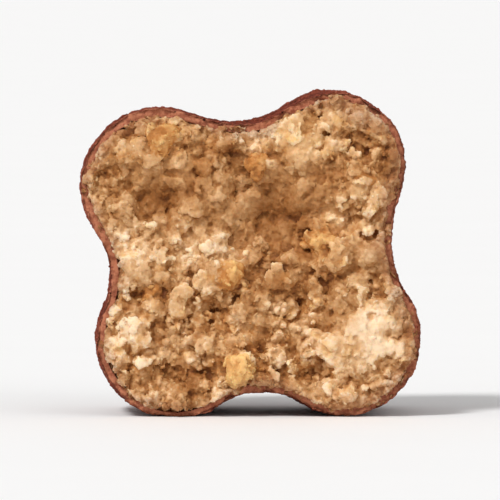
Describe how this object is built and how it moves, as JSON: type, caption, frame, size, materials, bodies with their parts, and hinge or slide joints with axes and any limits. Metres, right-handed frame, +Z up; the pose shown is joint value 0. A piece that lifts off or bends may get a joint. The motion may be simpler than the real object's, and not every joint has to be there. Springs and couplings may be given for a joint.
{
  "type": "chocolate truffle half",
  "caption": "Half of a four-lobed chocolate truffle, broken across: a thin cocoa-dusted coat around a crumbly nut filling, standing on its lobes.",
  "frame": {"origin": "on the surface that the half stands on, under the middle of its box", "axes": "+Z up; the broken face looks along -Y and the uncut end along +Y; +X to the right of someone looking at the broken face"},
  "size_m": [0.025, 0.0172, 0.0238],
  "materials": {
    "cocoa_coat": "thin dark chocolate, matt with a velvety, pitted dusting of reddish-brown cocoa powder; matt plastic stands in for chocolate",
    "crumb": "dry crumb of nut and biscuit in tan and caramel, matt and craggy; matt plastic stands in for it"
  },
  "bodies": {
    "root": {"chocolate_coat": "cocoa_coat", "crumb_filling": "crumb"}
  },
  "joints": []
}
